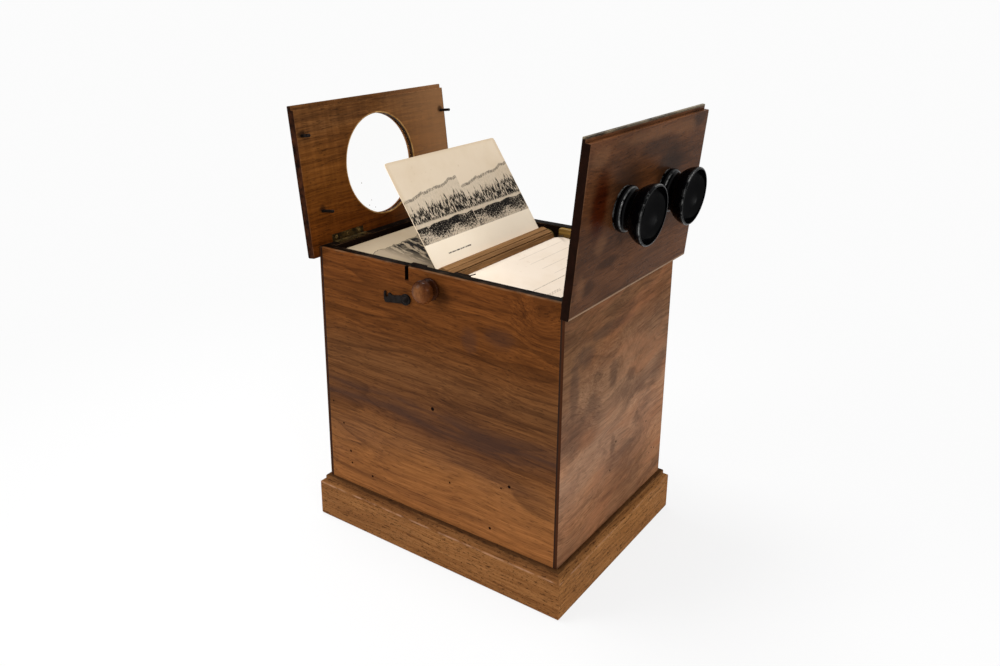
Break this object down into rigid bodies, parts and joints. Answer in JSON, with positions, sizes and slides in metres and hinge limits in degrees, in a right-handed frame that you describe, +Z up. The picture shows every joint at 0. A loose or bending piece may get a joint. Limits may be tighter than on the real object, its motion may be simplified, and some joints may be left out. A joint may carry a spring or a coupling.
{
  "type": "postcard viewer box",
  "caption": "Wooden box viewer with twin turned eyepieces in one hinged lid, a round window lens in the other, and a knob-turned wheel of slats that hold postcards.",
  "frame": {"origin": "centre of the underside, on the surface the box stands on", "axes": "+X towards the end whose lid carries the eyepieces, -Y towards the front face with the knob and hook, +Z up"},
  "size_m": [0.2762, 0.1897, 0.346],
  "materials": {
    "walnut": "french polish, worn",
    "black_stained_walnut": "dark stain, satin",
    "light_wood": "bare, aged",
    "aged_brass": "tarnished",
    "dark_iron": "blackened",
    "steel": "dull",
    "lens_glass": "clear",
    "card": "matt, aged"
  },
  "bodies": {
    "case": {"left_end_board": "walnut", "right_end_board": "walnut", "front_board": "walnut", "back_board": "walnut", "bottom_board": "walnut", "corner_blocks": "light_wood", "plinth_front": "walnut", "plinth_right": "walnut", "plinth_back": "walnut", "plinth_left": "walnut", "left_hinge_wall_leaves": "aged_brass", "left_hinge_wall_screws": "aged_brass", "left_hinge_pins": "steel", "right_hinge_wall_leaves": "aged_brass", "right_hinge_wall_screws": "aged_brass", "right_hinge_pins": "steel", "axle_bush_front": "aged_brass", "axle_bush_rear": "aged_brass", "bearing_block_front": "light_wood", "bearing_block_rear": "light_wood", "hook_screw": "dark_iron"},
    "left_lid": {"left_lid_board": "walnut", "window_lens": "lens_glass", "window_ring": "aged_brass", "lid_guide_pins": "dark_iron", "lid_catch_pin": "dark_iron", "left_hinge_lid_leaves": "aged_brass", "left_hinge_lid_screws": "aged_brass"},
    "right_lid": {"right_lid_board": "walnut", "eyepiece_front": "black_stained_walnut", "eyepiece_rear": "black_stained_walnut", "eyepiece_lens_front": "lens_glass", "eyepiece_lens_rear": "lens_glass", "eyepiece_lens_rings": "aged_brass", "right_hinge_lid_leaves": "aged_brass", "right_hinge_lid_screws": "aged_brass"},
    "card_wheel": {"wheel_core": "light_wood", "wheel_axle": "steel", "wheel_disc_front": "aged_brass", "wheel_disc_rear": "aged_brass", "turning_knob": "walnut", "card_clips": "dark_iron", "standing_card_clips": "dark_iron", "card_slat_1": "light_wood", "card_slat_2": "light_wood", "card_slat_3": "light_wood", "card_slat_4": "light_wood", "card_slat_5": "light_wood", "card_slat_6": "light_wood", "card_slat_7": "light_wood", "postcard_1": "card", "postcard_3": "card", "postcard_4": "card", "postcard_5": "card", "postcard_6": "card", "postcard_7": "card"},
    "hook": {"latch_hook": "dark_iron"}
  },
  "joints": [
    {"name": "left_lid_hinge", "type": "hinge", "parent": "case", "child": "left_lid", "pos_m": [-0.10925, 0, 0.23545], "axis": [0, 1, 0], "range_deg": [0, 97], "deforming": ["postcard_1", "standing_card_clips", "postcard_6", "postcard_7"]},
    {"name": "right_lid_hinge", "type": "hinge", "parent": "case", "child": "right_lid", "pos_m": [0.10907, 0, 0.23545], "axis": [0, -1, 0], "range_deg": [0, 95.5], "deforming": ["postcard_3", "postcard_4", "postcard_5", "card_clips"]},
    {"name": "card_wheel_turn", "type": "hinge", "parent": "case", "child": "card_wheel", "pos_m": [0, 0, 0.2245], "axis": [0, 1, 0], "continuous": true},
    {"name": "latch_hook_pivot", "type": "hinge", "parent": "case", "child": "hook", "pos_m": [-0.0229, -0.085, 0.2116], "axis": [0, 1, 0], "range_deg": [-75, 92]}
  ]
}
